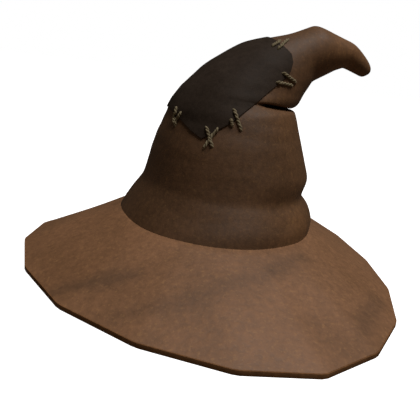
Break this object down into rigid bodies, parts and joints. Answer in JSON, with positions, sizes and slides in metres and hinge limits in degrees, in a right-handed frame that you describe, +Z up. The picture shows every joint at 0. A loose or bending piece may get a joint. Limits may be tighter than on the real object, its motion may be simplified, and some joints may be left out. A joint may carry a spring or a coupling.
{
  "type": "bent cone hat",
  "caption": "Floppy brown leather hat with a wide straight-sided brim and a tall bent cone crown, mended with a dark stitched patch; the cone and its tip bend and hold.",
  "frame": {"origin": "centre of the head opening, on the plane that the brim's edge stands on", "axes": "+Z up; the wearer faces -Y; the cone folds over towards +X, the wearer's left"},
  "size_m": [0.383, 0.455, 0.2485],
  "materials": {
    "brim_leather": "matte suede-like hide, mottled brown",
    "interlining": "stiff woven interlining",
    "brim_underside_leather": "matte hide, darker than the top",
    "edge_leather": "dark worn edge strip",
    "wire": "annealed steel wire",
    "crown_leather": "matte suede-like hide, mottled and scuffed",
    "lining_cloth": "plain woven cotton lining",
    "sweatband_leather": "smooth band leather",
    "tape_cloth": "woven cotton tape",
    "patch_leather": "nearly black worn leather with a faint sheen",
    "patch_thread": "coarse waxed thread, dull olive tan"
  },
  "bodies": {
    "crown": {"brim_top_layer": "brim_leather", "brim_interlining": "interlining", "brim_under_layer": "brim_underside_leather", "brim_edge_binding": "edge_leather", "brim_hoop_wire": "wire", "crown_lower_shell": "crown_leather", "crown_lower_lining": "lining_cloth", "sweatband": "sweatband_leather", "base_seam_tape": "tape_cloth", "shape_wire_lower": "wire", "patch_lower": "patch_leather", "patch_stitches_lower": "patch_thread"},
    "upper_cone": {"crown_upper_shell": "crown_leather", "crown_upper_lining": "lining_cloth", "shape_wire_upper": "wire", "patch_upper": "patch_leather", "patch_stitches_upper": "patch_thread"},
    "tip": {"crown_tip_shell": "crown_leather", "shape_wire_tip": "wire"}
  },
  "joints": [
    {"name": "crown_fold", "type": "hinge", "parent": "crown", "child": "upper_cone", "pos_m": [-0.047, 0, 0.1782], "axis": [0, -1, 0], "range_deg": [0, 30]},
    {"name": "tip_bend", "type": "hinge", "parent": "upper_cone", "child": "tip", "pos_m": [0.0823, 0, 0.244], "axis": [0, -1, 0], "range_deg": [-15, 35]}
  ]
}
